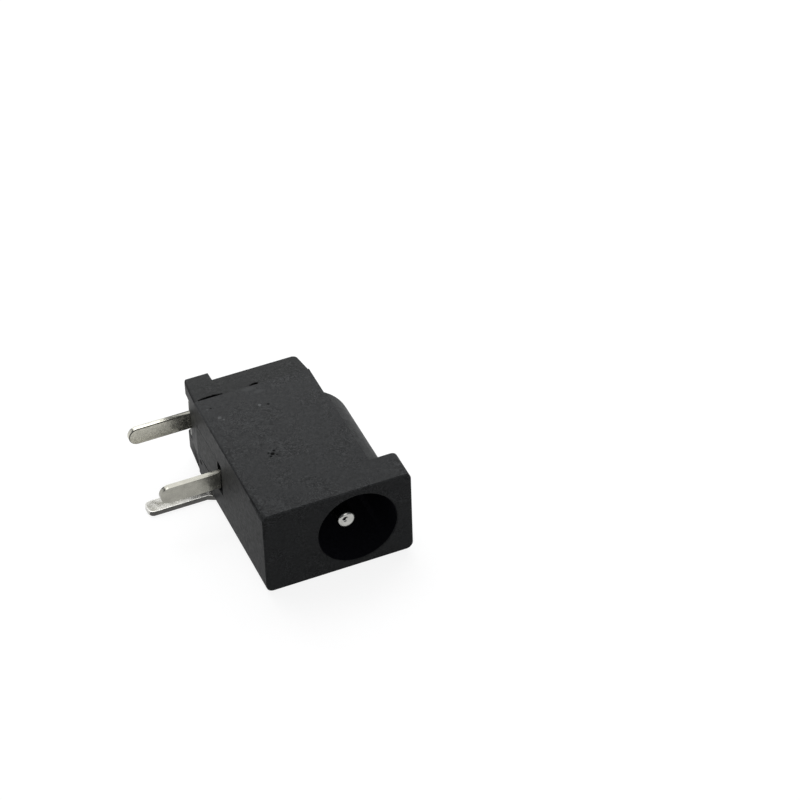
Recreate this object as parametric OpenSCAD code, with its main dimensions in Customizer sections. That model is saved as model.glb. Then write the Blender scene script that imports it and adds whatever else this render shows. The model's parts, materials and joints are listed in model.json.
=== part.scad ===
// Board-mount DC barrel jack with a switch contact, lying on its side. Sizes are in millimetres.
// X points away from the circuit board, Y runs from the plug opening to the tail, and Z is up.
// The origin is under the middle of the jack, on the surface that it lies on.
// The modules draw each piece from the centre pin's axis and the opening's face, and placed() moves it.

/* [Plug opening] */
// Diameter of the round opening and its bore
bore_d = 4.5; // [4.2:0.05:4.8]
// How far the bore's axis lies above the centre pin's axis
bore_offset = 0.33; // [0.2:0.01:0.4]
// Width of the bevel round the opening's rim
rim_bevel = 0.05; // [0.03:0.01:0.1]
// Plastic between the bore and the barrel's crown
crown_wall = 0.6; // [0.4:0.05:0.8]
// Plastic between the bore and each flat side
side_wall = 0.33; // [0.25:0.01:0.45]

/* [Front flange] */
// Thickness of the flange
flange_t = 1.9; // [1.4:0.05:2.1]
// How far the flange stands out past each flat side
flange_step = 0.1; // [0.05:0.01:0.2]
// How far the flange stands above the barrel's crown
flange_rise = 0.27; // [0.1:0.01:0.5]
// Radius of the flange's four corners
flange_corner = 0.4; // [0.25:0.05:0.6]
// Bevel along the flange's front edges
flange_bevel = 0.08; // [0.04:0.01:0.15]

/* [Housing body] */
// Height of the centre pin's axis above the circuit board
axis_height = 4.95; // [4.75:0.05:5.4]
// How far the body's board face is set back from the flange's
seat_step = 0.04; // [0.02:0.01:0.1]
// Distance from the opening's face to the end of the round barrel
barrel_l = 8.15; // [7.8:0.05:8.3]
// Rounding of the edge at the end of the barrel
barrel_end_r = 0.25; // [0.15:0.05:0.4]
// How far the tail's flat top lies below the barrel's long edges
tail_drop = 0.08; // [0.04:0.01:0.15]
// Plastic between the switch contact's solder pin and the housing's rear end
rear_wall = 0.93; // [0.8:0.01:1.4]
// Plastic between the bottom of the bore and the end of the barrel
bore_back_wall = 0.6; // [0.4:0.05:0.8]
// Radius of the two long edges at the board, along the body and the cap
seat_edge_r = 0.15; // [0.1:0.05:0.3]
// Thickness of the wall that faces the board
board_wall = 1.2; // [1:0.05:1.3]

/* [Rear cap] */
// Thickness of the cap behind the housing
cap_t = 1.5; // [1.3:0.05:1.8]
// How much smaller than the body the cap is, on each side
cap_step = 0.04; // [0.02:0.01:0.08]
// How much the cap's sides and its board face draw in towards the rear
cap_taper = 0.14; // [0.05:0.01:0.2]
// Radius of the cap's rear edge, away from the board
cap_edge_r = 0.3; // [0.2:0.05:0.6]
// How far the two feet reach past the cap's rear face
foot_l = 0.8; // [0.55:0.05:0.9]
// Height of the feet, measured from the board
foot_h = 1.65; // [1.2:0.05:1.9]
// Rounding of the feet's tips towards the board
foot_r = 0.4; // [0.2:0.05:0.45]
// Rounding of the feet's tips to both sides
foot_side_r = 0.2; // [0.15:0.05:0.3]
// Width of the notch between the feet
notch_w = 2.8; // [2.6:0.05:2.9]
// How far the notch and the rear terminal lie off the middle, away from the switch contact
notch_shift = 0.2; // [0.1:0.01:0.24]
// Depth of the recess for the rear terminal's plate in the cap's rear face
plate_recess = 0.25; // [0.15:0.05:0.35]
// Gap at the two places where the seam stands open on each flat side
seam_gap = 0.16; // [0.08:0.02:0.2]
// Depth of those open places
seam_depth = 0.45; // [0.3:0.05:0.6]
// Distance from the cap's board face to the long open place
seam_slit_x = 0.24; // [0.1:0.02:0.3]
// Length of the long open place
seam_slit_l = 1.4; // [1.2:0.05:1.6]
// Distance from the cap's board face to the short open place
seam_nick_x = 3.2; // [2.6:0.1:3.6]
// Length of the short open place
seam_nick_l = 0.5; // [0.3:0.05:0.7]

/* [Board window] */
// Distance from the opening's face to the window's front end
window_y = 6.37; // [6.2:0.01:6.4]
// Width of the window in the wall that faces the board
window_w = 2.12; // [2:0.02:2.3]
// Clearance between the cap's tongue and the window
tongue_gap = 0.03; // [0.02:0.01:0.06]
// Room left between the sleeve contact and the tongue's front end
tongue_room = 0.12; // [0.1:0.01:0.3]

/* [Contact strip] */
// Thickness of the strip that the three contacts are stamped from
strip_t = 0.32; // [0.3:0.01:0.38]
// Width of the sleeve contact's and the rear terminal's solder pins
solder_w = 1.05; // [0.9:0.05:1.15]
// Length of those two solder pins below the board face
solder_l = 3.4; // [3:0.05:4]

/* [Centre pin] */
// Diameter of the centre pin
pin_d = 1.05; // [0.9:0.05:1.2]
// Distance of the pin's tip behind the opening's face
pin_recess = 0.75; // [0.6:0.05:1.5]
// Diameter of the flat spot at the pin's tip
pin_tip_d = 0.65; // [0.4:0.05:0.8]
// Diameter of the shank that sits in the housing
shank_d = 1.4; // [1.3:0.05:1.5]
// Diameter of the collar that the cap clamps
collar_d = 1.8; // [1.6:0.05:1.9]
// Thickness of that collar
collar_t = 0.6; // [0.4:0.05:0.8]
// Diameter of the neck that passes through the cap
neck_d = 0.7; // [0.6:0.05:0.85]
// Diameter of the riveted head
rivet_d = 1.5; // [1.3:0.05:1.7]
// Height of the riveted head
rivet_h = 0.18; // [0.12:0.01:0.2]
// Clearance round the pin in the housing and the cap
pin_gap = 0.02; // [0.01:0.01:0.04]

/* [Rear terminal] */
// How far the terminal's plate reaches past the pin's axis, away from the board
plate_top = 1.2; // [1:0.05:1.3]
// Radius of the plate's corners
plate_r = 0.2; // [0.1:0.05:0.5]
// Clearance between the terminal's plate and the feet
plate_gap = 0.05; // [0.03:0.01:0.1]
// How far above the board face the plate narrows to its solder pin
plate_lift = 0.2; // [0.1:0.05:0.4]

/* [Sleeve contact] */
// Distance from the window's front end to the middle of the solder pin
sleeve_pin_set = 0.28; // [0.26:0.01:0.3]
// Width of the contact's spring
spring_w = 1.3; // [1.1:0.05:1.4]
// Clearance on each side of the spring
spring_gap = 0.1; // [0.05:0.05:0.2]
// Gap under the spring's base
base_gap = 0.1; // [0.08:0.01:0.15]
// Inner radius of the strip's bends
bend_r = 0.2; // [0.18:0.01:0.22]
// Room in the channel in front of the spring's front bend
channel_room = 0.45; // [0.3:0.05:0.6]
// Distance from the opening's face to the middle of the spring's front bend
spring_y = 3.2; // [3:0.05:3.5]
// Distance from the opening's face to the spring's highest point
crown_y = 5.6; // [5.2:0.05:6]
// How far the spring's crown stands into the bore
crown_reach = 0.3; // [0.2:0.02:0.4]
// Length of the spring's tail under the switch contact's tab
tail_l = 0.6; // [0.5:0.05:0.8]

/* [Switch contact] */
// Distance from the opening's face to the middle of the switch contact's solder pin
switch_y = 8.77; // [8.7:0.01:8.8]
// How deep the switch contact's plate is let into the side of the body
switch_sink = 0.05; // [0.03:0.01:0.08]
// Width of the switch contact's plate
switch_plate_w = 2.1; // [1.9:0.05:2.2]
// Width of the switch contact's solder pin
switch_w = 1; // [0.85:0.05:1.1]
// Length of the switch contact's solder pin below the board face
switch_l = 3.6; // [3:0.05:4]
// How far the plate's shoulder reaches below the board face
shoulder_l = 0.25; // [0.15:0.05:0.4]
// Height over which the shoulder slants from the pin's width to the plate's
shoulder_h = 2.2; // [1.8:0.1:2.4]
// Corner radius at the tip of the switch contact's solder pin
switch_tip_r = 0.35; // [0.2:0.05:0.4]
// Width of the tab that the sleeve contact rests against
tab_w = 1; // [0.8:0.05:1.1]
// How far the tab reaches past the middle of the spring
tab_past_l = 0.4; // [0.3:0.05:0.5]
// Clearance round the switch contact in its pocket
pocket_gap = 0.03; // [0.02:0.01:0.06]
// Gap between the switch contact's tab and the spring's tail at rest
touch_gap = 0.02; // [0.02:0.01:0.05]

/* [Hidden] */
$fn = 96;
black_plastic = "#2c2d2e";
cap_plastic = "#272829";
tinned_metal = "#b8b6ae";
// Overshoot of a cut past the face that it opens
cut = 1;
// Overlap of two shapes that make one solid
lap = 0.05;
// Steps in each bend and each slope of the sleeve contact
bend_steps = 8;
slope_steps = 10;
// How many times the body's edge radius the cap's board edges have, so that they end clearly on its faces
edge_flatness = 1.2;

body_half = bore_d / 2 + side_wall;
flange_half = body_half + flange_step;
barrel_r = bore_offset + bore_d / 2 + crown_wall;
// Height at which the round barrel meets the flat sides
crease_x = sqrt(pow(barrel_r, 2) - pow(body_half, 2));
tail_top = crease_x - tail_drop;
flange_top = barrel_r + flange_rise;
flange_bottom = -axis_height;
body_bottom = flange_bottom + seat_step;
bore_end = barrel_l - bore_back_wall;
bore_bottom = bore_offset - bore_d / 2;

switch_front = switch_y - switch_w / 2;
switch_rear = switch_y + switch_w / 2;
housing_l = switch_rear + rear_wall;
cap_rear = housing_l + cap_t;
foot_end = cap_rear + foot_l;
cap_bottom = body_bottom + cap_step;
cap_top = tail_top - cap_step;
cap_half = body_half - cap_step;
foot_top = flange_bottom + foot_h;

bend_mid_r = bend_r + strip_t / 2;
channel_floor = body_bottom + board_wall;
channel_half = spring_w / 2 + spring_gap;
channel_start = spring_y - bend_mid_r - strip_t / 2 - channel_room;
sleeve_pin_y = window_y + sleeve_pin_set;
base_x = channel_floor + base_gap + strip_t / 2;
spring_start_x = base_x + 2 * bend_mid_r;
spring_crown_x = bore_bottom + crown_reach - strip_t / 2;
tongue_front = sleeve_pin_y + strip_t / 2 + tongue_room;

plate_y = cap_rear - plate_recess;
notch_low = notch_shift - notch_w / 2;
notch_high = notch_shift + notch_w / 2;

solder_tip_x = flange_bottom - solder_l;
switch_tip_x = flange_bottom - switch_l;
lowest_x = min(solder_tip_x, switch_tip_x);
tab_bottom = bore_bottom - strip_t;
tab_top = bore_bottom;
spring_tail_x = tab_bottom - touch_gap - strip_t / 2;
switch_inner = switch_sink - body_half;
switch_outer = switch_inner - strip_t;
plate_front = switch_rear - switch_plate_w;

// Moves a piece from the centre pin's axis to its place over the origin
module placed() {
    translate([-(lowest_x + flange_top) / 2, -foot_end / 2, -switch_outer])
        children();
}

// A flat outline in X and Z, drawn out along Y
module along_y(y0, y1) {
    translate([0, y1, 0])
        rotate([90, 0, 0])
            linear_extrude(y1 - y0)
                children();
}

// A flat outline in X and Y, drawn out along Z to the same reach on both sides
module along_z(z0, z1) {
    translate([0, 0, z0])
        linear_extrude(z1 - z0)
            children();
}

// A flat outline in Z and Y, drawn out along X
module along_x(x0, x1) {
    translate([x1, 0, 0])
        rotate([0, -90, 0])
            linear_extrude(x1 - x0)
                children();
}

// A box given by its lowest and highest corners
module span(low, high) {
    translate(low)
        cube(high - low);
}

// A round bar along Y, centred at height x
module bar_y(d, y0, y1, x = 0) {
    translate([x, y0, 0])
        rotate([-90, 0, 0])
            cylinder(d = d, h = y1 - y0);
}

// A piece turned about the centre pin's axis, from its outline in radius and Y
module turned() {
    rotate([-90, 0, 0])
        rotate_extrude()
            children();
}

// A rectangle from x0 to x1 and half wide to each side, with round corners
module rounded_rect(x0, x1, half, r) {
    translate([x0 + r, -half])
        square([x1 - x0 - 2 * r, 2 * half]);
    translate([x0, r - half])
        square([x1 - x0, 2 * (half - r)]);
    for (x = [x0 + r, x1 - r], z = [r - half, half - r])
        translate([x, z])
            circle(r = r);
}

// The flange: a plate with round corners and a bevel along its front edges
module flange_plate() {
    along_y(flange_bevel, flange_t)
        rounded_rect(flange_bottom, flange_top, flange_half, flange_corner);
    along_z(flange_corner - flange_half, flange_half - flange_corner)
        polygon([
            [flange_bottom, flange_bevel],
            [flange_bottom + flange_bevel, 0],
            [flange_top - flange_bevel, 0],
            [flange_top, flange_bevel]
        ]);
    along_x(flange_bottom + flange_corner, flange_top - flange_corner)
        polygon([
            [-flange_half, flange_bevel],
            [flange_bevel - flange_half, 0],
            [flange_half - flange_bevel, 0],
            [flange_half, flange_bevel]
        ]);
    for (x = [flange_bottom + flange_corner, flange_top - flange_corner])
        for (z = [flange_corner - flange_half, flange_half - flange_corner])
            translate([x, 0, z])
                rotate([-90, 0, 0])
                    cylinder(r1 = flange_corner - flange_bevel, r2 = flange_corner, h = flange_bevel);
}

// The half-round barrel over the bore, turned about the centre pin's axis and cut to the flat sides
module barrel() {
    intersection() {
        turned() {
            square([barrel_r, barrel_l - barrel_end_r]);
            square([barrel_r - barrel_end_r, barrel_l]);
            translate([barrel_r - barrel_end_r, barrel_l - barrel_end_r])
                circle(r = barrel_end_r);
        }
        span([0, flange_t - lap, -body_half], [barrel_r + cut, barrel_l + cut, body_half]);
    }
}

// The straight body between the flange and the rear cap, with its long edges rounded at the board
module straight_body() {
    along_y(flange_t - lap, housing_l) {
        translate([body_bottom + seat_edge_r, -body_half])
            square([tail_top - body_bottom - seat_edge_r, 2 * body_half]);
        translate([body_bottom, seat_edge_r - body_half])
            square([tail_top - body_bottom, 2 * (body_half - seat_edge_r)]);
        for (z = [seat_edge_r - body_half, body_half - seat_edge_r])
            translate([body_bottom + seat_edge_r, z])
                circle(r = seat_edge_r);
    }
}

// The plug's bore and the seat of the centre pin behind it
module bore_cut() {
    bar_y(bore_d, -cut, bore_end, bore_offset);
    translate([bore_offset, 0, 0])
        rotate([-90, 0, 0])
            cylinder(r1 = bore_d / 2 + rim_bevel, r2 = bore_d / 2, h = rim_bevel);
    bar_y(shank_d + 2 * pin_gap, bore_end - cut, housing_l + cut);
    bar_y(collar_d + 2 * pin_gap, housing_l - collar_t - pin_gap, housing_l + cut);
}

// The channel under the bore for the sleeve contact, and the window through the board wall
module channel_cut() {
    span([channel_floor, channel_start, -channel_half], [bore_offset, bore_end, channel_half]);
    span([channel_floor, bore_end - lap, -channel_half], [bore_bottom + pocket_gap, housing_l + cut, channel_half]);
    span([body_bottom - cut, window_y, -window_w / 2], [channel_floor + lap, housing_l + cut, window_w / 2]);
}

// The pocket in the side wall for the switch contact, and the slot for its tab
module pocket_cut() {
    span(
        [body_bottom - cut, plate_front - pocket_gap, -body_half - cut],
        [tab_top + pocket_gap, switch_rear + pocket_gap, switch_inner]
    );
    span(
        [tab_bottom - pocket_gap, switch_front - pocket_gap, -body_half - cut],
        [tab_top + pocket_gap, switch_front + tab_w + pocket_gap, 0]
    );
}

module housing() {
    color(black_plastic)
        placed()
            difference() {
                union() {
                    flange_plate();
                    barrel();
                    straight_body();
                }
                bore_cut();
                channel_cut();
                pocket_cut();
            }
}

// Points of an arc in the plane, from angle a0 to angle a1
function arc(cx, cy, r, a0, a1, steps) = [
    for (i = [0:steps])
        let (a = a0 + (a1 - a0) * i / steps)
            [cx + r * cos(a), cy + r * sin(a)]
];

// The cap seen from the side: the tapered top, its rounded rear edge and the feet
module cap_side_outline() {
    rear_top = cap_top - cap_taper;
    polygon(concat(
        [[cap_bottom, housing_l], [cap_top, housing_l]],
        arc(rear_top - cap_edge_r, cap_rear - cap_edge_r, cap_edge_r, 0, 90, bend_steps),
        [[foot_top, cap_rear], [foot_top, foot_end]],
        arc(cap_bottom + cap_taper + foot_r, foot_end - foot_r, foot_r, 90, 180, bend_steps)
    ));
}

// The round end of a foot, between the widths z0 and z1
function foot_tip(z0, z1) = concat(
    arc(z1 - foot_side_r, foot_end - foot_side_r, foot_side_r, 0, 90, bend_steps),
    arc(z0 + foot_side_r, foot_end - foot_side_r, foot_side_r, 90, 180, bend_steps)
);

// The cap seen from the board: tapered sides, two feet and the notch between them
module cap_board_outline() {
    foot_half = cap_half - cap_taper;
    polygon(concat(
        [[cap_half, housing_l]],
        foot_tip(notch_high, foot_half),
        [[notch_high, cap_rear], [notch_low, cap_rear]],
        foot_tip(-foot_half, notch_low),
        [[-cap_half, housing_l]]
    ));
}

// The recess that the rear terminal's plate sits in, open to the notch
module plate_cut() {
    span(
        [cap_bottom - cut, plate_y, notch_low],
        [plate_top + plate_gap, cap_rear + cut, notch_high]
    );
}

// What is taken off the cap's two long edges at the board, so that they are as round as the body's
module board_edges_cut() {
    side_l = foot_end - foot_side_r - housing_l;
    board_l = foot_end - foot_r - housing_l;
    r = seat_edge_r * edge_flatness;
    centre = seat_edge_r / 2 + sqrt(pow(r, 2) / 2 - pow(seat_edge_r / 2, 2));
    for (side = [0, 1])
        mirror([0, 0, side])
            translate([cap_bottom, housing_l, cap_half])
                rotate([-atan2(cap_taper, side_l), 0, -atan2(cap_taper, board_l)])
                    along_y(-cut, side_l + cut)
                        difference() {
                            translate([-cut, -centre])
                                square(centre + cut);
                            translate([centre, -centre])
                                circle(r = r);
                        }
}

// The tongue that closes the board window behind the sleeve contact
module tongue() {
    half = window_w / 2 - tongue_gap;
    span([body_bottom, tongue_front, -half], [channel_floor - tongue_gap, housing_l, half]);
    span([cap_bottom + lap, housing_l - lap, -half], [channel_floor - tongue_gap, housing_l + lap, half]);
}

// One open place of the seam on both flat sides, from height x along length l
module seam_cut(x, l) {
    for (side = [0, 1])
        mirror([0, 0, side])
            span(
                [cap_bottom + x, housing_l - cut, body_half - seam_depth],
                [cap_bottom + x + l, housing_l + seam_gap, body_half + cut]
            );
}

module rear_cap() {
    color(cap_plastic)
        placed()
            difference() {
                union() {
                    intersection() {
                        along_z(-body_half, body_half)
                            cap_side_outline();
                        along_x(cap_bottom - cut, cap_top + cut)
                            cap_board_outline();
                    }
                    tongue();
                }
                bar_y(neck_d + 2 * pin_gap, housing_l - cut, foot_end + cut);
                plate_cut();
                board_edges_cut();
                seam_cut(seam_slit_x, seam_slit_l);
                seam_cut(seam_nick_x, seam_nick_l);
            }
}

// The pin's round-ended shaft, from its tip to the back of the bore
module pin_shaft() {
    tip_r = (pin_d - pin_tip_d) / 2;
    turned() {
        translate([0, pin_recess])
            square([pin_tip_d / 2, bore_end - pin_recess]);
        translate([pin_tip_d / 2, pin_recess + tip_r])
            intersection() {
                circle(r = tip_r);
                translate([0, -tip_r])
                    square(tip_r);
            }
        translate([0, pin_recess + tip_r])
            square([pin_d / 2, bore_end - pin_recess - tip_r]);
    }
}

// The head that is riveted over behind the terminal's plate
module rivet_head() {
    turned() {
        translate([0, plate_y + strip_t])
            square([rivet_d / 2 - rivet_h, rivet_h]);
        translate([rivet_d / 2 - rivet_h, plate_y + strip_t])
            intersection() {
                circle(r = rivet_h);
                square(rivet_h);
            }
    }
}

module centre_pin() {
    color(tinned_metal)
        placed() {
            pin_shaft();
            bar_y(shank_d, bore_end, housing_l);
            bar_y(collar_d, housing_l - collar_t, housing_l);
            bar_y(neck_d, housing_l - lap, plate_y + strip_t + lap);
            rivet_head();
        }
}

// A solder pin along X from its round tip up to x1, drawn as an outline in X and Z
module solder_outline(x1) {
    translate([solder_tip_x + solder_w / 2, -solder_w / 2])
        square([x1 - solder_tip_x - solder_w / 2, solder_w]);
    translate([solder_tip_x + solder_w / 2, 0])
        circle(d = solder_w);
}

module rear_terminal() {
    plate_bottom = flange_bottom + plate_lift;
    color(tinned_metal)
        placed()
            difference() {
                along_y(plate_y, plate_y + strip_t)
                    translate([0, notch_shift]) {
                        rounded_rect(plate_bottom, plate_top, notch_w / 2 - plate_gap, plate_r);
                        solder_outline(0);
                    }
                bar_y(neck_d + 2 * pin_gap, plate_y - cut, foot_end + cut);
            }
}

// Height of the spring's middle line at y: a smooth rise to the crown, then a fall to the tail
function ease(t) = (1 - cos(180 * t)) / 2;
function tail_start() = switch_y - tail_l / 2;
function rise(i) = [
    spring_start_x + (spring_crown_x - spring_start_x) * ease(i / slope_steps),
    spring_y + (crown_y - spring_y) * i / slope_steps
];
function fall(i) = [
    spring_crown_x + (spring_tail_x - spring_crown_x) * ease(i / slope_steps),
    crown_y + (tail_start() - crown_y) * i / slope_steps
];

// The middle line of the contact's strip, from the top of its solder pin to the end of its tail
function spring_path() = concat(
    arc(base_x - bend_mid_r, sleeve_pin_y - bend_mid_r, bend_mid_r, 90, 0, bend_steps),
    arc(base_x + bend_mid_r, spring_y, bend_mid_r, 180, 360, 2 * bend_steps),
    [for (i = [1:slope_steps]) rise(i)],
    [for (i = [1:slope_steps]) fall(i)],
    [[spring_tail_x, tail_start() + tail_l]]
);

// The unit vector across the path at point i
function across(path, i) =
    let (
        before = path[max(i - 1, 0)],
        after = path[min(i + 1, len(path) - 1)],
        along = (after - before) / norm(after - before)
    )
        [-along[1], along[0]];

// A strip of even thickness t along the path
function ribbon(path, t) = concat(
    [for (i = [0:len(path) - 1]) path[i] + across(path, i) * t / 2],
    [for (i = [len(path) - 1:-1:0]) path[i] - across(path, i) * t / 2]
);

module sleeve_contact() {
    color(tinned_metal)
        placed() {
            along_y(sleeve_pin_y - strip_t / 2, sleeve_pin_y + strip_t / 2)
                solder_outline(base_x - bend_mid_r);
            along_z(-spring_w / 2, spring_w / 2)
                polygon(ribbon(spring_path(), strip_t));
        }
}

// The switch contact's plate and solder pin, drawn as an outline in X and Y
module switch_outline() {
    shoulder_x = flange_bottom - shoulder_l;
    polygon(concat(
        [[tab_top, plate_front], [shoulder_x + shoulder_h, plate_front], [shoulder_x, switch_front]],
        arc(switch_tip_x + switch_tip_r, switch_front + switch_tip_r, switch_tip_r, 270, 180, bend_steps),
        arc(switch_tip_x + switch_tip_r, switch_rear - switch_tip_r, switch_tip_r, 180, 90, bend_steps),
        [[tab_top, switch_rear]]
    ));
}

module switch_contact() {
    color(tinned_metal)
        placed() {
            along_z(switch_outer, switch_inner)
                switch_outline();
            span([tab_bottom, switch_front, switch_outer], [tab_top, switch_front + tab_w, tab_past_l]);
        }
}

housing();
rear_cap();
centre_pin();
rear_terminal();
sleeve_contact();
switch_contact();
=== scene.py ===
"""A board-mount DC barrel jack, lying on its side.

The moulded housing and cap, the turned pin and the three stamped contacts keep the shapes of their CAD nodes.
Here they get softened edges, a dimple in the pin's tip, and the finish of every surface, with painted light
and shade on some of them.
"""

import json
import math
from collections import namedtuple

import bmesh
import bpy
from mathutils import Matrix, Vector

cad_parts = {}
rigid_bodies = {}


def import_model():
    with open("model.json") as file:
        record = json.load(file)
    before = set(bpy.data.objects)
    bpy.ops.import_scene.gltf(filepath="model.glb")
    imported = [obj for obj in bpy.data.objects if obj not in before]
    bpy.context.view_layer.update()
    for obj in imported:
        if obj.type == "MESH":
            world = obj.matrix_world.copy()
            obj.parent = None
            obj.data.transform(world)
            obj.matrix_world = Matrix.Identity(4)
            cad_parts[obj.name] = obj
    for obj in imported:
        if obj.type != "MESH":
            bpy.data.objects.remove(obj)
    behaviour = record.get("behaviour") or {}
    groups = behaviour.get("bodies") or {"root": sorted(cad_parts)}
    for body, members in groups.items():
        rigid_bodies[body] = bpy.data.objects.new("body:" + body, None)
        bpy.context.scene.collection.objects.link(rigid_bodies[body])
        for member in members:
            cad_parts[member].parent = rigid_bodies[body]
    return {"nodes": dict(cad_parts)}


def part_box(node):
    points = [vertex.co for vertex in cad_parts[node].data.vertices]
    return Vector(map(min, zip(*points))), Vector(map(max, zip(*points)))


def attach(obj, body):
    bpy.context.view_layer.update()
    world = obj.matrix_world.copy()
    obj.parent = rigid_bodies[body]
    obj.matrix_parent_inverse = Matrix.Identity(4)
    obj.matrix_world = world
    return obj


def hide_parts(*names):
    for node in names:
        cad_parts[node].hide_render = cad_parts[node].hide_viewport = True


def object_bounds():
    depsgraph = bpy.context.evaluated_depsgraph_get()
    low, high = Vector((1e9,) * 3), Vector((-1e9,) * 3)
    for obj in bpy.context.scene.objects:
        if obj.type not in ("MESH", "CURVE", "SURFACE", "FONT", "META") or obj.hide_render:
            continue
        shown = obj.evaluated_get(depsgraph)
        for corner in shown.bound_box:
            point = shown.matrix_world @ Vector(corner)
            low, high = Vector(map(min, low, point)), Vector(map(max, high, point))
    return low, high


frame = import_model()
cad_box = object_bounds()
nodes = frame["nodes"]

MM = 0.001
BODY = "root"

# Where the camera stands, in degrees and metres, and its lens and sensor, in millimetres
CAMERA_AZIMUTH = -19.70
CAMERA_ELEVATION = 42.37
CAMERA_ROLL = -3.42
CAMERA_DISTANCE = 181.8 * MM
CAMERA_LENS = 152.9
SENSOR_WIDTH = 36.0
# The nearest and the farthest that it sees, in metres
CAMERA_CLIP = (0.01, 100.0)
# The point that the camera's distance is measured from, past the lowest corner of the whole jack
AIM_FROM_CORNER = Vector((7.675, 4.5, 2.85)) * MM
# Where that point lies in the camera's view, from its middle, as shares of its width
AIM_RIGHT = -0.1188
AIM_UP = -0.1021

# Lamps: offset from the middle of the jack and size in metres, and power in watts
Lamp = namedtuple("Lamp", "name offset size power")
LAMPS = (
    Lamp("back_softbox", (0.09, 0.26, 0.25), (0.50, 0.40), 1.25),
    Lamp("top_softbox", (-0.05, 0.10, 0.30), (0.20, 0.20), 0.25),
    Lamp("side_softbox", (-0.30, 0.28, 0.10), (0.30, 0.24), 0.18),
    Lamp("front_fill", (0.05, -0.38, 0.22), (0.20, 0.20), 0.26),
)
ROOM_COLOUR = (0.135, 0.14, 0.148)
FLOOR_SIZE = 40.0
FLOOR_COLOUR = (0.20, 0.20, 0.20)
FLOOR_GLOW = 0.87
WHITE = (1, 1, 1)

# Colours of the mouldings and platings, as linear values
HOUSING_COLOUR = (0.0390, 0.0401, 0.0410)
CAP_COLOUR = (0.0292, 0.0302, 0.0302)
# The bore's colour is painted shade: the moulding's plastic made darker inside the bore and in the pin's
# dimple
BORE_SHADE_COLOUR = (0.012, 0.012, 0.016)
NICKEL_COLOUR = (0.44, 0.44, 0.42)
# One tin, with each contact's copy painted lighter or darker as painted light and shade
LIT_TIN_COLOURS = {
    "rear_terminal": (0.530, 0.520, 0.455),
    "sleeve_contact": (0.318, 0.312, 0.276),
    "switch_contact": (0.560, 0.555, 0.530),
}

# How much the mouldings shine at the opening and at the rear, and where those are along the jack: painted
# light, darker at the opening and lighter at the rear
SHINE = (0.038, 0.100)
SHINE_SPAN = (cad_box[0].y, cad_box[1].y)

# The middle of a noise, the range of it that is spread over a pattern's whole contrast, and a narrower range
# for crisper patterns
NOISE_MIDDLE = 0.5
SOFT_RANGE = (0.3, 0.7)
CRISP_RANGE = (0.35, 0.65)

# Mouldings: sizes of their patterns in millimetres, tones as shares of their colour, and where in the noise a
# pattern shows and how strongly
GRAIN_SIZE = 0.16
GRAIN_TONES = (0.74, 1.28)
CLOUD_SIZE = 0.9
CLOUD_TONE = 0.88
CLOUD_RANGE = (0.35, 0.75)
CLOUD_STRENGTH = (0.0, 0.35)
FLOW_PATCH_SIZE = 1.6
FLOW_PATCH_RANGE = (0.42, 0.60)
FLOW_PATCH_STRENGTH = (0.15, 1.0)
# Curled flow lines, as pairs of size and tone, and how they fade to both sides of a line's middle
FLOW_LINES = ((0.60, 1.55), (0.48, 0.58))
FLOW_LINE_RANGE = (0.02, 0.06)
FLOW_LINE_STRENGTH = (0.9, 0.0)
FLOW_LINE_CURL = 2.4
SATIN_SIZE = 0.3
SATIN_SPREAD = 0.06
# Their relief, in millimetres: its height, the sizes of its pores and of its slow swell, and how high the
# swell is as a share of the pores
HOUSING_RELIEF = 0.004
SMOOTH_RELIEF = 0.003
PORE_SIZE = 0.07
SWELL_SIZE = 0.5
SWELL_SHARE = 1.5
# Roughness of the mouldings
OUTER_ROUGHNESS = 0.5
BORE_ROUGHNESS = 0.6
EDGE_ROUGHNESS = 0.7
# Painted shade on their rounded edges, a dull dark line
EDGE_SHADE_SIZE = 0.5
EDGE_SHADE_TONES = (0.15, 0.55)

# Plating: sizes of its patterns in millimetres, and tones as shares of its colour
PLATING_PATCH_SIZE = 0.5
PLATING_TONES = (0.90, 1.08)
STAIN_SIZE = 0.16
STAIN_TONE = 0.7
STAIN_RANGE = (0.55, 0.75)
STAIN_STRENGTH = (0.0, 0.25)
POLISH_SIZE = 0.35
POLISH_SPREAD = 0.07
# Its ripples, in millimetres: their height, the sizes of the broad and the fine ones, and how high the fine
# ones are as a share of the broad ones
RIPPLE = 0.004
SOLDER_RIPPLE = 0.014
RIPPLE_SIZE = 0.3
FINE_RIPPLE_SIZE = 0.09
FINE_RIPPLE_SHARE = 0.25
# Roughness of the platings
NICKEL_ROUGHNESS = 0.22
TIN_ROUGHNESS = 0.24
PAINTED_SHADE_TIN_ROUGHNESS = 0.34
SOLDER_ROUGHNESS = 0.30
# Painted shade and painted highlight on the tin, as shares of its colour
TIN_SHADE_SHARE = 0.16
BEAD_HIGHLIGHT_SHARE = 1.4

# Where the marks lie, in millimetres from the pin's axis and the opening's face: the body's upper flat, its
# board side, and the open slits of the seam
BODY_TOP = 2.58
BOARD_SIDE = -4.91
SLIT_DEPTH = 10.35
SLIT_HEIGHT = 2.46
# A mark's tone is a share of the moulding's colour, and a squeeze below 1 draws the mark out along that axis
Mark = namedtuple("Mark", "place radius tone squeeze", defaults=((1, 1, 1),))
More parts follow.
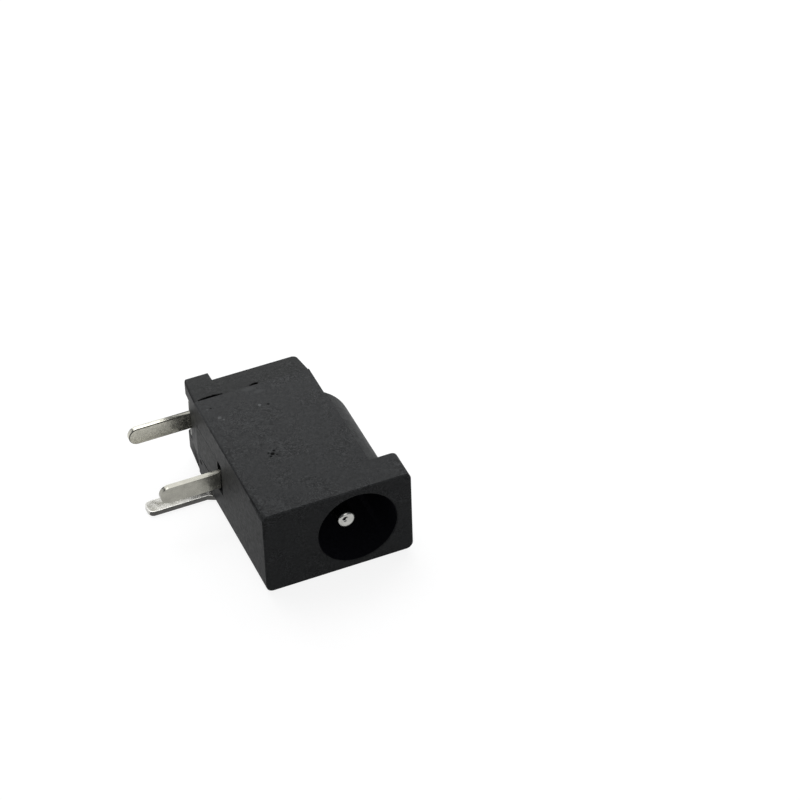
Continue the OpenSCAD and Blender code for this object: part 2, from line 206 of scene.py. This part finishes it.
# How large a mark's solid middle is and how far its ragged edge wanders, as shares of its radius
MARK_MIDDLE = 0.6
MARK_WOBBLE = 0.35
HOUSING_MARKS = (
    # The cross-shaped scar in the middle of the upper flat
    Mark((-2.56, 4.59, BODY_TOP), 0.15, 0.12),
    Mark((-2.42, 4.78, BODY_TOP), 0.10, 0.2),
    Mark((-2.72, 4.42, BODY_TOP), 0.09, 0.2),
    Mark((-2.74, 4.72, BODY_TOP), 0.08, 0.3),
    Mark((-2.38, 4.45, BODY_TOP), 0.08, 0.3),
    # A dark pit and pale nicks before the seam
    Mark((-1.31, 8.41, BODY_TOP), 0.10, 0.3),
    Mark((-1.76, 8.53, BODY_TOP), 0.11, 2.8),
    Mark((-4.09, 8.45, BODY_TOP), 0.13, 2.4),
    Mark((-3.93, 8.22, BODY_TOP), 0.08, 2.2),
    # Pale scuffs beside the seam
    Mark((-1.80, 10.00, BODY_TOP), 0.18, 1.4, (0.4, 1, 1)),
    Mark((-1.40, 9.60, BODY_TOP), 0.16, 1.35, (0.5, 1, 1)),
    # A pit and a nick at the corner over the board side
    Mark((-4.25, 9.37, BODY_TOP), 0.07, 0.3),
    Mark((-4.45, 9.34, BODY_TOP), 0.08, 1.7),
    # The dark line and the blemish at the board window
    Mark((BOARD_SIDE, 9.15, -1.06), 0.08, 0.03, (1, 0.10, 1)),
    Mark((BOARD_SIDE, 9.80, -1.42), 0.22, 0.15),
)
CAP_MARKS = (
    # The shade inside the two open slits of the seam
    Mark((-3.90, SLIT_DEPTH, SLIT_HEIGHT), 0.13, 0.03, (0.16, 1, 1)),
    Mark((-1.33, SLIT_DEPTH, SLIT_HEIGHT), 0.13, 0.03, (0.4, 1, 1)),
)

# Widths of the softened edges, in millimetres
MOULDED_EDGE = 0.042
STAMPED_EDGE = 0.06
TURNED_EDGE = 0.04
EDGE_SEGMENTS = 2
# An edge is softened above the first angle, shaded as sharp above the second, and dissolved below the third
SHARP_ANGLE = math.radians(32)
SMOOTH_ANGLE = math.radians(50)
FLAT_ANGLE = math.radians(0.4)
# Points of the mesh closer than this are one point, in millimetres
SAME_POINT = 0.002

# The off-centre dimple in the pin's flat tip, in millimetres, and an area that only the tip's face has
DIMPLE_RIM = 0.23
DIMPLE_WALL = 0.03
DIMPLE_DEPTH = 0.10
DIMPLE_SHIFT = (-0.13, 0, 0.17)
TIP_AREA = 0.2

# The bore, in millimetres: its axis past the pin's, a radius just past its wall, and the depth of its rim
BORE_OFFSET = 0.33
BORE_RADIUS = 2.27
RIM_DEPTH = 0.06

# Which way a face points, as its normal's share along the axis
TO_THE_REAR = 0.5
TO_THE_OPENING = -0.6
TO_THE_BOARD = -0.9

# A finished piece's materials: the main one, the one on its softened edges, and one for its special faces
MAIN, EDGE, SPECIAL = range(3)


def rgba(colour):
    return (*colour, 1.0)


def scaled(colour, share):
    return tuple(c * share for c in colour)


def pin_axis_point(x, y, z):
    """A place given in millimetres from the pin's axis and the opening's face."""
    low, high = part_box("centre_pin")
    middle = (Vector(low) + Vector(high)) / 2
    return Vector((middle.x, cad_box[0].y, middle.z)) + Vector((x, y, z)) * MM


class Recipe:
    """A material under construction, with short calls for its nodes. Sizes and heights are in millimetres."""

    def __init__(self, name):
        self.material = bpy.data.materials.new(name)
        self.material.use_nodes = True
        self.tree = self.material.node_tree
        self.tree.nodes.clear()
        self.output = self.tree.nodes.new("ShaderNodeOutputMaterial")
        self.place = self.tree.nodes.new("ShaderNodeTexCoord").outputs["Object"]

    def node(self, kind, **sockets):
        """A new node, with its sockets' names written with underscores for spaces."""
        made = self.tree.nodes.new(kind)
        for name, value in sockets.items():
            made.inputs[name.replace("_", " ")].default_value = value
        return made

    def link(self, source, target):
        self.tree.links.new(source, target)

    def covered(self, shader):
        """The material, with this shader as its surface."""
        self.link(shader.outputs[0], self.output.inputs["Surface"])
        return self.material

    def noise(self, size, detail, roughness=0.5, distortion=0.0):
        made = self.node(
            "ShaderNodeTexNoise",
            Scale=1.0 / (size * MM),
            Detail=detail,
            Roughness=roughness,
            Distortion=distortion,
        )
        self.link(self.place, made.inputs["Vector"])
        return made.outputs["Fac"]

    def math(self, operation, first, second=0):
        made = self.tree.nodes.new("ShaderNodeMath")
        made.operation = operation
        for socket, value in zip(made.inputs, (first, second)):
            if isinstance(value, (int, float)):
                socket.default_value = value
            else:
                self.link(value, socket)
        return made.outputs[0]

    def vector_math(self, operation, first, second=None):
        made = self.tree.nodes.new("ShaderNodeVectorMath")
        made.operation = operation
        self.link(first, made.inputs[0])
        if second is not None:
            made.inputs[1].default_value = second
        return made

    def span(self, value, source, target=(0.0, 1.0)):
        """Carries a value from one range to another, and holds it inside."""
        made = self.node(
            "ShaderNodeMapRange",
            From_Min=source[0],
            From_Max=source[1],
            To_Min=target[0],
            To_Max=target[1],
        )
        self.link(value, made.inputs["Value"])
        return made.outputs["Result"]

    def blend(self, factor, first, second):
        """Mixes two tones, each of them a colour or the output of a node."""
        made = self.tree.nodes.new("ShaderNodeMix")
        made.data_type = "RGBA"
        for name, colour in (("A", first), ("B", second)):
            socket = next(s for s in made.inputs if s.name == name and s.type == "RGBA")
            if isinstance(colour, tuple):
                socket.default_value = rgba(colour)
            else:
                self.link(colour, socket)
        self.link(factor, made.inputs[0])
        return next(s for s in made.outputs if s.type == "RGBA")

    def rearward(self):
        """How far a point lies behind the middle of the jack, in metres."""
        made = self.tree.nodes.new("ShaderNodeSeparateXYZ")
        self.link(self.place, made.inputs[0])
        return made.outputs["Y"]

    def spot(self, mark):
        """1 in the middle of a ragged mark and 0 outside it."""
        reach = mark.radius * MM
        away = self.vector_math("SUBTRACT", self.place, pin_axis_point(*mark.place)).outputs["Vector"]
        away = self.vector_math("MULTIPLY", away, mark.squeeze).outputs["Vector"]
        distance = self.vector_math("LENGTH", away).outputs["Value"]
        ragged = self.math("MULTIPLY", self.noise(mark.radius, detail=2.0), reach * MARK_WOBBLE * 2)
        solid, outside = reach * (MARK_MIDDLE + MARK_WOBBLE), reach * (1.0 + MARK_WOBBLE)
        return self.span(self.math("ADD", distance, ragged), (solid, outside), (1.0, 0.0))

    def bump(self, height, distance, under=None):
        """Relief, on top of another relief where one is given."""
        made = self.node("ShaderNodeBump", Strength=1.0, Distance=distance * MM)
        self.link(height, made.inputs["Height"])
        if under is not None:
            self.link(under, made.inputs["Normal"])
        return made.outputs["Normal"]

    def uneven_roughness(self, shader, middle, spread, size, detail):
        """Roughness that wanders by a spread to both sides of its middle."""
        wandering = self.span(self.noise(size, detail), SOFT_RANGE, (middle - spread, middle + spread))
        self.link(wandering, shader.inputs["Roughness"])


def moulded_plastic(name, colour, relief, roughness, marks=()):
    """Satin black moulding: a fine grain, patches of curled flow lines, single marks, and shine that rises
    towards the rear as painted light.
    """
    recipe = Recipe(name)
    shader = recipe.node("ShaderNodeBsdfPrincipled")
    grain = recipe.noise(GRAIN_SIZE, detail=3.0, roughness=0.65, distortion=0.8)
    clouds = recipe.noise(CLOUD_SIZE, detail=4.0, roughness=0.6)
    tones = (scaled(colour, share) for share in GRAIN_TONES)
    tone = recipe.blend(recipe.span(grain, SOFT_RANGE), *tones)
    cloudy = recipe.span(clouds, CLOUD_RANGE, CLOUD_STRENGTH)
    tone = recipe.blend(cloudy, tone, scaled(colour, CLOUD_TONE))
    patch_noise = recipe.noise(FLOW_PATCH_SIZE, detail=2.0)
    patches = recipe.span(patch_noise, FLOW_PATCH_RANGE, FLOW_PATCH_STRENGTH)
    for size, share in FLOW_LINES:
        flow = recipe.noise(size, detail=1.0, distortion=FLOW_LINE_CURL)
        from_line = recipe.math("ABSOLUTE", recipe.math("SUBTRACT", flow, NOISE_MIDDLE))
        lines = recipe.span(from_line, FLOW_LINE_RANGE, FLOW_LINE_STRENGTH)
        tone = recipe.blend(recipe.math("MULTIPLY", lines, patches), tone, scaled(colour, share))
    # Painted light: the shine rises from the opening to the rear
    shine = recipe.span(recipe.rearward(), SHINE_SPAN, SHINE)
    for mark in marks:
        spot = recipe.spot(mark)
        tone = recipe.blend(spot, tone, scaled(colour, mark.tone))
        dulled = recipe.span(spot, (0.0, 1.0), (1.0, min(mark.tone, 1.0)))
        shine = recipe.math("MULTIPLY", shine, dulled)
    recipe.link(tone, shader.inputs["Base Color"])
    recipe.link(shine, shader.inputs["Specular IOR Level"])
    recipe.uneven_roughness(shader, roughness, SATIN_SPREAD, SATIN_SIZE, detail=4.0)
    pores = recipe.bump(recipe.noise(PORE_SIZE, detail=3.0, roughness=0.6), relief)
    swell = recipe.bump(recipe.noise(SWELL_SIZE, detail=2.0), relief * SWELL_SHARE, pores)
    recipe.link(swell, shader.inputs["Normal"])
    return recipe.covered(shader)


def painted_edge_shade(name, colour):
    """Painted shade on a moulding's rounded edges: a dull, dark line without shine."""
    recipe = Recipe(name)
    shader = recipe.node("ShaderNodeBsdfPrincipled", Roughness=EDGE_ROUGHNESS, Specular_IOR_Level=0.0)
    edge_shade = recipe.span(recipe.noise(EDGE_SHADE_SIZE, detail=3.0), CRISP_RANGE)
    tones = (scaled(colour, share) for share in EDGE_SHADE_TONES)
    recipe.link(recipe.blend(edge_shade, *tones), shader.inputs["Base Color"])
    return recipe.covered(shader)


def plated_metal(name, colour, roughness, ripple=RIPPLE):
    """Dull plating on stamped or turned brass, with soft patches, stains and fine ripples."""
    recipe = Recipe(name)
    shader = recipe.node("ShaderNodeBsdfPrincipled", Metallic=1.0)
    patches = recipe.noise(PLATING_PATCH_SIZE, detail=4.0, roughness=0.6)
    stains = recipe.noise(STAIN_SIZE, detail=3.0, roughness=0.6, distortion=0.4)
    tones = (scaled(colour, share) for share in PLATING_TONES)
    tone = recipe.blend(recipe.span(patches, CRISP_RANGE), *tones)
    stained = recipe.span(stains, STAIN_RANGE, STAIN_STRENGTH)
    tone = recipe.blend(stained, tone, scaled(colour, STAIN_TONE))
    recipe.link(tone, shader.inputs["Base Color"])
    recipe.uneven_roughness(shader, roughness, POLISH_SPREAD, POLISH_SIZE, detail=3.0)
    broad = recipe.bump(recipe.noise(RIPPLE_SIZE, detail=2.0), ripple)
    fine_noise = recipe.noise(FINE_RIPPLE_SIZE, detail=3.0, roughness=0.6)
    recipe.link(recipe.bump(fine_noise, ripple * FINE_RIPPLE_SHARE, broad), shader.inputs["Normal"])
    return recipe.covered(shader)


def select_only(piece):
    bpy.ops.object.select_all(action="DESELECT")
    piece.select_set(True)
    bpy.context.view_layer.objects.active = piece


def resize_mesh(share):
    """Resizes the mesh in edit mode about the origin."""
    bpy.ops.mesh.select_all(action="SELECT")
    bpy.ops.transform.resize(value=(share, share, share), center_override=(0, 0, 0))


def press_dimple(piece):
    """Presses a dimple into the flat end of the pin that faces the opening."""
    mesh = bmesh.from_edit_mesh(piece.data)
    front = min(v.co.y for v in mesh.verts)
    bpy.ops.mesh.select_all(action="DESELECT")
    for face in mesh.faces:
        in_front = face.calc_center_median().y < front + SAME_POINT
        face.select_set(in_front and face.calc_area() > TIP_AREA)
    bmesh.update_edit_mesh(piece.data)
    bpy.ops.mesh.inset(thickness=DIMPLE_RIM, depth=0)
    bpy.ops.transform.translate(value=DIMPLE_SHIFT)
    bpy.ops.mesh.inset(thickness=DIMPLE_WALL, depth=-DIMPLE_DEPTH)
    bpy.ops.mesh.select_more()
    # The dimple's walls and floor get the special material, painted shade
    for face in bmesh.from_edit_mesh(piece.data).faces:
        if face.select and face.calc_center_median().y > front + SAME_POINT:
            face.material_index = SPECIAL


def soften_edges(piece, width):
    """Rounds the sharp outer edges of the mesh in edit mode, and gives them their own material."""
    bpy.ops.mesh.select_mode(type="EDGE")
    bpy.ops.mesh.select_all(action="DESELECT")
    mesh = bmesh.from_edit_mesh(piece.data)
    for edge in mesh.edges:
        outer = len(edge.link_faces) == 2 and edge.is_convex
        edge.select_set(outer and edge.calc_face_angle(0) > SHARP_ANGLE)
    bmesh.update_edit_mesh(piece.data)
    bpy.ops.mesh.bevel(
        offset=width,
        segments=EDGE_SEGMENTS,
        clamp_overlap=True,
        affect="EDGES",
        material=EDGE,
    )


def finished(node, width, materials, shape=None):
    """A copy of a CAD node as one joined mesh, with its outer edges softened by width millimetres.

    It is worked on in millimetres. The shape, where one is given, is a last step in edit mode.
    """
    piece = bpy.data.objects.new(node + "_finished", nodes[node].data.copy())
    bpy.context.scene.collection.objects.link(piece)
    piece.data.materials.clear()
    for material in materials:
        piece.data.materials.append(material)
    select_only(piece)
    bpy.ops.object.mode_set(mode="EDIT")
    bpy.ops.mesh.select_mode(type="VERT")
    resize_mesh(1 / MM)
    bpy.ops.mesh.remove_doubles(threshold=SAME_POINT)
    bpy.ops.mesh.dissolve_limited(angle_limit=FLAT_ANGLE)
    soften_edges(piece, width)
    if shape:
        bpy.ops.mesh.select_mode(type="FACE")
        shape(piece)
    bpy.ops.mesh.select_mode(type="VERT")
    resize_mesh(MM)
    bpy.ops.object.mode_set(mode="OBJECT")
    bpy.ops.object.shade_smooth_by_angle(angle=SMOOTH_ANGLE)
    bpy.ops.object.modifier_add(type="WEIGHTED_NORMAL")
    piece.modifiers[-1].keep_sharp = True
    bpy.ops.object.modifier_apply(modifier=piece.modifiers[-1].name)
    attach(piece, BODY)
    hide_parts(node)
    return piece


def repaint(piece, material, chosen):
    """Gives one of the piece's materials to the faces that a test picks."""
    for face in piece.data.polygons:
        if chosen(face):
            face.material_index = material


def blend_seam(piece):
    """Paints the softened edges where the housing and the cap meet like the rest of the piece."""
    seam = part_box("housing")[1][1]
    repaint(piece, MAIN, lambda face: abs(face.center.y - seam) < MOULDED_EDGE * MM)


def paint_bore_shade(piece):
    """Gives the special material, painted shade, to the faces inside the plug's bore."""
    axis = pin_axis_point(BORE_OFFSET, 0, 0)

    def inside(face):
        away = Vector((face.center.x - axis.x, 0, face.center.z - axis.z))
        near = away.length < BORE_RADIUS * MM and face.center.y > axis.y + RIM_DEPTH * MM
        return near and face.normal.y < TO_THE_REAR and face.normal.dot(away) < SAME_POINT * MM

    repaint(piece, SPECIAL, inside)


def make_housing(bore_shade_material):
    plastic = moulded_plastic(
        "housing_plastic",
        HOUSING_COLOUR,
        HOUSING_RELIEF,
        OUTER_ROUGHNESS,
        HOUSING_MARKS,
    )
    edge = painted_edge_shade("housing_edge", HOUSING_COLOUR)
    housing = finished("housing", MOULDED_EDGE, (plastic, edge, bore_shade_material))
    blend_seam(housing)
    paint_bore_shade(housing)


def make_cap():
    plastic = moulded_plastic("cap_plastic", CAP_COLOUR, SMOOTH_RELIEF, OUTER_ROUGHNESS, CAP_MARKS)
    edge = painted_edge_shade("cap_edge", CAP_COLOUR)
    cap = finished("rear_cap", MOULDED_EDGE, (plastic, edge))
    blend_seam(cap)


def make_pin(bore_shade_material):
    """The centre pin, with the same painted shade in its dimple as in the bore."""
    nickel = plated_metal("nickel_plating", NICKEL_COLOUR, NICKEL_ROUGHNESS)
    finished("centre_pin", TURNED_EDGE, (nickel, nickel, bore_shade_material), press_dimple)


def make_contacts():
    """The three stamped contacts, with painted shade on some of the faces that turn away from the lamps.

    Their edges carry painted shade too, but for the switch contact's, which a solder bead covers, painted
    bright as a highlight.
    """
    board_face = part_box("housing")[0][0]

    def turned_to_board(face):
        return face.normal.x < TO_THE_BOARD and face.center.x > board_face

    for node, colour in LIT_TIN_COLOURS.items():
        tin = plated_metal(node + "_tin", colour, TIN_ROUGHNESS)
        # A darker copy of the tin, as painted shade
        dark = plated_metal(node + "_painted_shade_tin", scaled(colour, TIN_SHADE_SHARE), PAINTED_SHADE_TIN_ROUGHNESS)
        materials = (tin, dark)
        if node == "switch_contact":
            # The switch contact's edges: a solder bead, painted brighter as a highlight
            bead = plated_metal("solder_bead_painted_highlight", scaled(colour, BEAD_HIGHLIGHT_SHARE), SOLDER_ROUGHNESS, SOLDER_RIPPLE)
            materials = (tin, bead, dark)
        contact = finished(node, STAMPED_EDGE, materials)
        # The switch contact's faces towards the opening get painted shade
        if node == "switch_contact":
            repaint(contact, SPECIAL, lambda face: face.normal.y < TO_THE_OPENING)
        # The rear terminal's faces towards the board, inside the housing's notch, get painted shade, as do
        # its edges
        if node == "rear_terminal":
            repaint(contact, EDGE, turned_to_board)


def camera_axes():
    """The camera's right, its up, and the way back from what it looks at to it."""
    azimuth, elevation, roll = (math.radians(v) for v in (CAMERA_AZIMUTH, CAMERA_ELEVATION, CAMERA_ROLL))
    back = Vector((
        math.sin(azimuth) * math.cos(elevation),
        -math.cos(azimuth) * math.cos(elevation),
        math.sin(elevation),
    ))
    level_right = Vector((math.cos(azimuth), math.sin(azimuth), 0))
    level_up = back.cross(level_right)
    right = level_right * math.cos(roll) + level_up * math.sin(roll)
    up = level_up * math.cos(roll) - level_right * math.sin(roll)
    return right, up, back


def place_camera():
    data = bpy.data.cameras.new("camera")
    data.lens = CAMERA_LENS
    data.sensor_width = SENSOR_WIDTH
    data.clip_start, data.clip_end = CAMERA_CLIP
    camera = bpy.data.objects.new("camera", data)
    bpy.context.scene.collection.objects.link(camera)
    right, up, back = camera_axes()
    turn = Matrix((right, up, back)).transposed()
    seen = (turn @ Vector((AIM_RIGHT, AIM_UP, -CAMERA_LENS / SENSOR_WIDTH))).normalized()
    turn = seen.rotation_difference(-back).to_matrix() @ turn
    place = cad_box[0] + AIM_FROM_CORNER + back * CAMERA_DISTANCE
    camera.matrix_world = Matrix.Translation(place) @ turn.to_4x4()
    bpy.context.scene.camera = camera


def hang_lamp(lamp):
    """A rectangular lamp, aimed at the middle of the jack."""
    data = bpy.data.lights.new(lamp.name, "AREA")
    data.shape = "RECTANGLE"
    data.size, data.size_y = lamp.size
    data.energy = lamp.power
    light = bpy.data.objects.new(lamp.name, data)
    bpy.context.scene.collection.objects.link(light)
    offset = Vector(lamp.offset)
    light.location = (cad_box[0] + cad_box[1]) / 2 + offset
    light.rotation_mode = "QUATERNION"
    light.rotation_quaternion = (-offset).to_track_quat("-Z", "Y")


def lay_floor():
    """A pale floor that the camera and all reflections see as nearly white, with the jack's shadow on it."""
    bpy.ops.object.select_all(action="DESELECT")
    bpy.ops.mesh.primitive_plane_add(size=FLOOR_SIZE, location=(0, 0, cad_box[0].z))
    floor = bpy.context.active_object
    floor.name = "floor"
    recipe = Recipe("pale_floor")
    matt = recipe.node("ShaderNodeBsdfDiffuse", Color=rgba(FLOOR_COLOUR))
    path = recipe.tree.nodes.new("ShaderNodeLightPath")
    seen = recipe.math("MAXIMUM", path.outputs["Is Camera Ray"], path.outputs["Is Glossy Ray"])
    seen = recipe.math("MAXIMUM", seen, path.outputs["Is Transmission Ray"])
    glow = recipe.node("ShaderNodeEmission", Color=rgba(WHITE))
    recipe.link(recipe.math("MULTIPLY", seen, FLOOR_GLOW), glow.inputs["Strength"])
    both = recipe.tree.nodes.new("ShaderNodeAddShader")
    recipe.link(matt.outputs["BSDF"], both.inputs[0])
    recipe.link(glow.outputs["Emission"], both.inputs[1])
    floor.data.materials.append(recipe.covered(both))


def light_room():
    world = bpy.data.worlds.new("room")
    world.use_nodes = True
    background = world.node_tree.nodes["Background"]
    background.inputs["Color"].default_value = rgba(ROOM_COLOUR)
    background.inputs["Strength"].default_value = 1.0
    bpy.context.scene.world = world
    for lamp in LAMPS:
        hang_lamp(lamp)


bpy.context.scene.view_settings.view_transform = "Standard"
place_camera()
# Painted shade for the inside of the bore and the pin's dimple
bore_shade_plastic = moulded_plastic("bore_shade_plastic", BORE_SHADE_COLOUR, SMOOTH_RELIEF, BORE_ROUGHNESS)
make_housing(bore_shade_plastic)
make_cap()
make_pin(bore_shade_plastic)
make_contacts()
lay_floor()
light_room()
